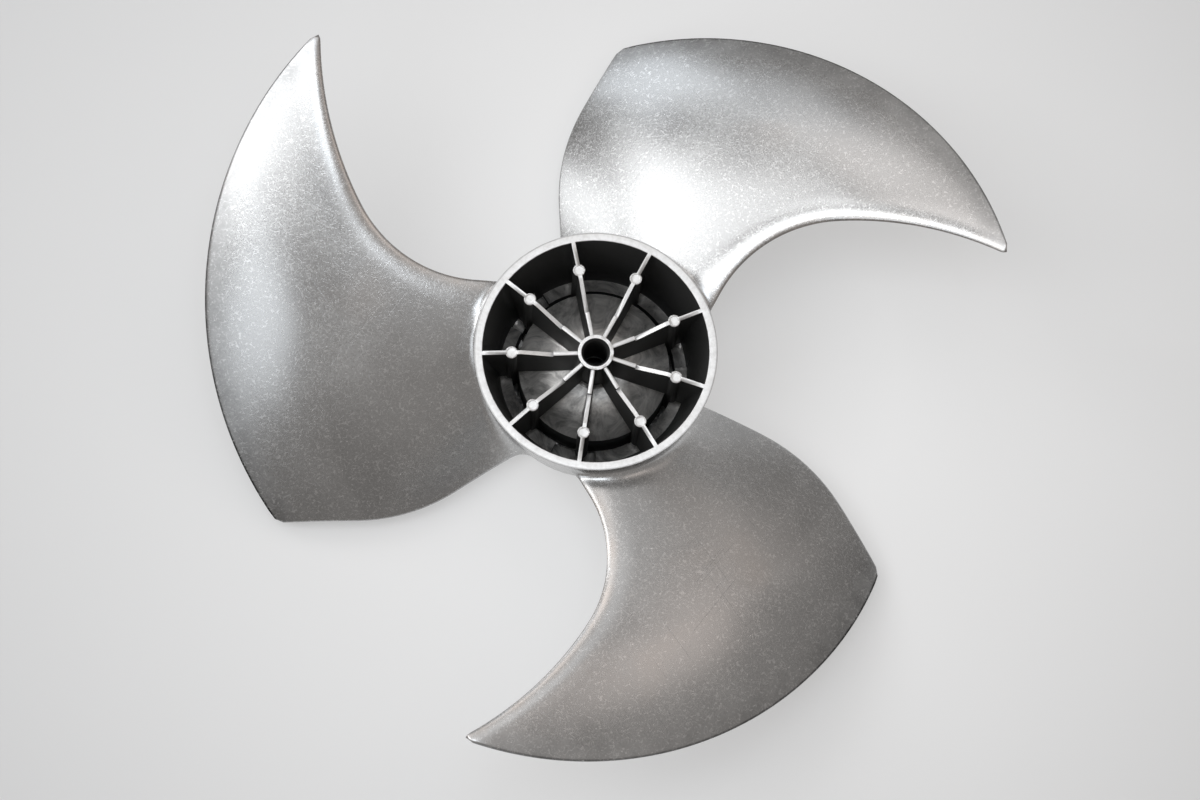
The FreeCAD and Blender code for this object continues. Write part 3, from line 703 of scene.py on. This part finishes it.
def blade_rows():
    """Closed loops of points round the blade: root in the hub's wall, fillet, then out to the tip."""
    top, bottom = skin_grids()
    ring = np.concatenate([top[:, ::-1], bottom[:, 1:-1]], axis=1)
    clear = np.hypot(ring[..., 0], ring[..., 1]) - cone_radius(ring[..., 2])
    steps = np.linspace(0, 1, SPAN_STEPS)
    roots, columns = [], []
    for points, gaps in zip(ring.transpose(1, 0, 2), clear.T):
        inside = np.nonzero(gaps < 0)[0][-1]
        share = -gaps[inside] / (gaps[inside + 1] - gaps[inside])
        root = points[inside] * (1 - share) + points[inside + 1] * share
        line = np.vstack([root, points[inside + 1:]])
        roots.append(root)
        columns.append(along(line, FILLET + (length_of(line) - FILLET) * steps))
    root, body = np.array(roots), np.stack(columns, axis=1)
    foot = fillet_foot(root)
    sunk, deep = on_cone(foot, FILLET_SUNK), on_cone(foot, ROOT_SUNK)
    shares = np.linspace(0, 1, FILLET_STEPS + 1)[:-1, None, None]
    fillet = (1 - shares) ** 2 * sunk + 2 * shares * (1 - shares) * root + shares ** 2 * body[0]
    return np.concatenate([deep[None], fillet, body])


def blade_solid(rows, turn):
    """Closed blade mesh turned about the shaft axis."""
    count = rows.shape[1]
    x, y, z = rows.reshape(-1, 3).T * MM
    cos, sin = math.cos(turn), math.sin(turn)
    points = np.c_[x * cos - y * sin, x * sin + y * cos, z]
    faces = []
    for start in range(0, len(points) - count, count):
        for column in range(count):
            near, beside = start + column, start + (column + 1) % count
            faces.append((near, beside, beside + count, near + count))
    for column in range(count // 2):
        corners = (column, column + 1, count - column - 1, (count - column) % count)
        faces.append(tuple(dict.fromkeys(corners)))
    mesh = bpy.data.meshes.new("blade")
    mesh.from_pydata(points.tolist(), [], faces)
    work = bmesh.new()
    work.from_mesh(mesh)
    bmesh.ops.remove_doubles(work, verts=work.verts, dist=BLADE_MERGE)
    bmesh.ops.dissolve_degenerate(work, edges=work.edges, dist=BLADE_MERGE)
    bmesh.ops.recalc_face_normals(work, faces=work.faces)
    work.to_mesh(mesh)
    work.free()
    return bpy.data.objects.new("blade", mesh)


def hub_solid():
    """The casting without its blades: the hub cup, ribs, posts and tube, closed where the blades were."""
    mesh = bpy.data.meshes.new("hub")
    work = bmesh.new()
    work.from_mesh(casting.data)
    bmesh.ops.remove_doubles(work, verts=work.verts, dist=HUB_MERGE)
    outside = []
    for face in work.faces:
        middle = face.calc_center_median() / MM
        if math.hypot(middle.x, middle.y) > cone_radius(middle.z) + HUB_SLACK:
            outside.append(face)
    bmesh.ops.delete(work, geom=outside, context="FACES")
    open_edges = [edge for edge in work.edges if edge.is_boundary]
    patch = bmesh.ops.holes_fill(work, edges=open_edges, sides=0)["faces"]
    bmesh.ops.triangulate(work, faces=patch)
    bmesh.ops.recalc_face_normals(work, faces=work.faces)
    work.to_mesh(mesh)
    work.free()
    return bpy.data.objects.new("hub", mesh)


def united(hub, blades):
    """Mesh of the hub and the blades as one closed body."""
    for item in (hub, *blades):
        bpy.context.collection.objects.link(item)
    for blade in blades:
        union = hub.modifiers.new("union", "BOOLEAN")
        union.operation = "UNION"
        union.solver = "EXACT"
        union.object = blade
    mesh = bpy.data.meshes.new_from_object(hub.evaluated_get(bpy.context.evaluated_depsgraph_get()))
    for item in (hub, *blades):
        bpy.data.objects.remove(item)
    return mesh


def whole_casting():
    """Hub and blades united into one smooth piece that stands for the CAD part."""
    rows = blade_rows()
    blades = [blade_solid(rows, math.tau * index / BLADE_COUNT) for index in range(BLADE_COUNT)]
    mesh = united(hub_solid(), blades)
    mesh.name = "impeller_casting"
    for polygon in mesh.polygons:
        polygon.use_smooth = True
    mesh.set_sharp_from_angle(angle=SHARP_ANGLE)
    mesh.materials.clear()
    mesh.materials.append(cast_aluminium())
    piece = bpy.data.objects.new("impeller_casting", mesh)
    bpy.context.collection.objects.link(piece)
    weighted = piece.modifiers.new("weighted", "WEIGHTED_NORMAL")
    weighted.keep_sharp = True
    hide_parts("impeller")
    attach(piece, "root")


whole_casting()
add_camera()
add_floor()
set_world(WORLD_LEVEL, WORLD_COLOR)
for height, lamps in LAMP_RINGS:
    for turn, power, color in lamps:
        add_lamp(height, turn, power, color)

bpy.context.scene.view_settings.view_transform = "Standard"
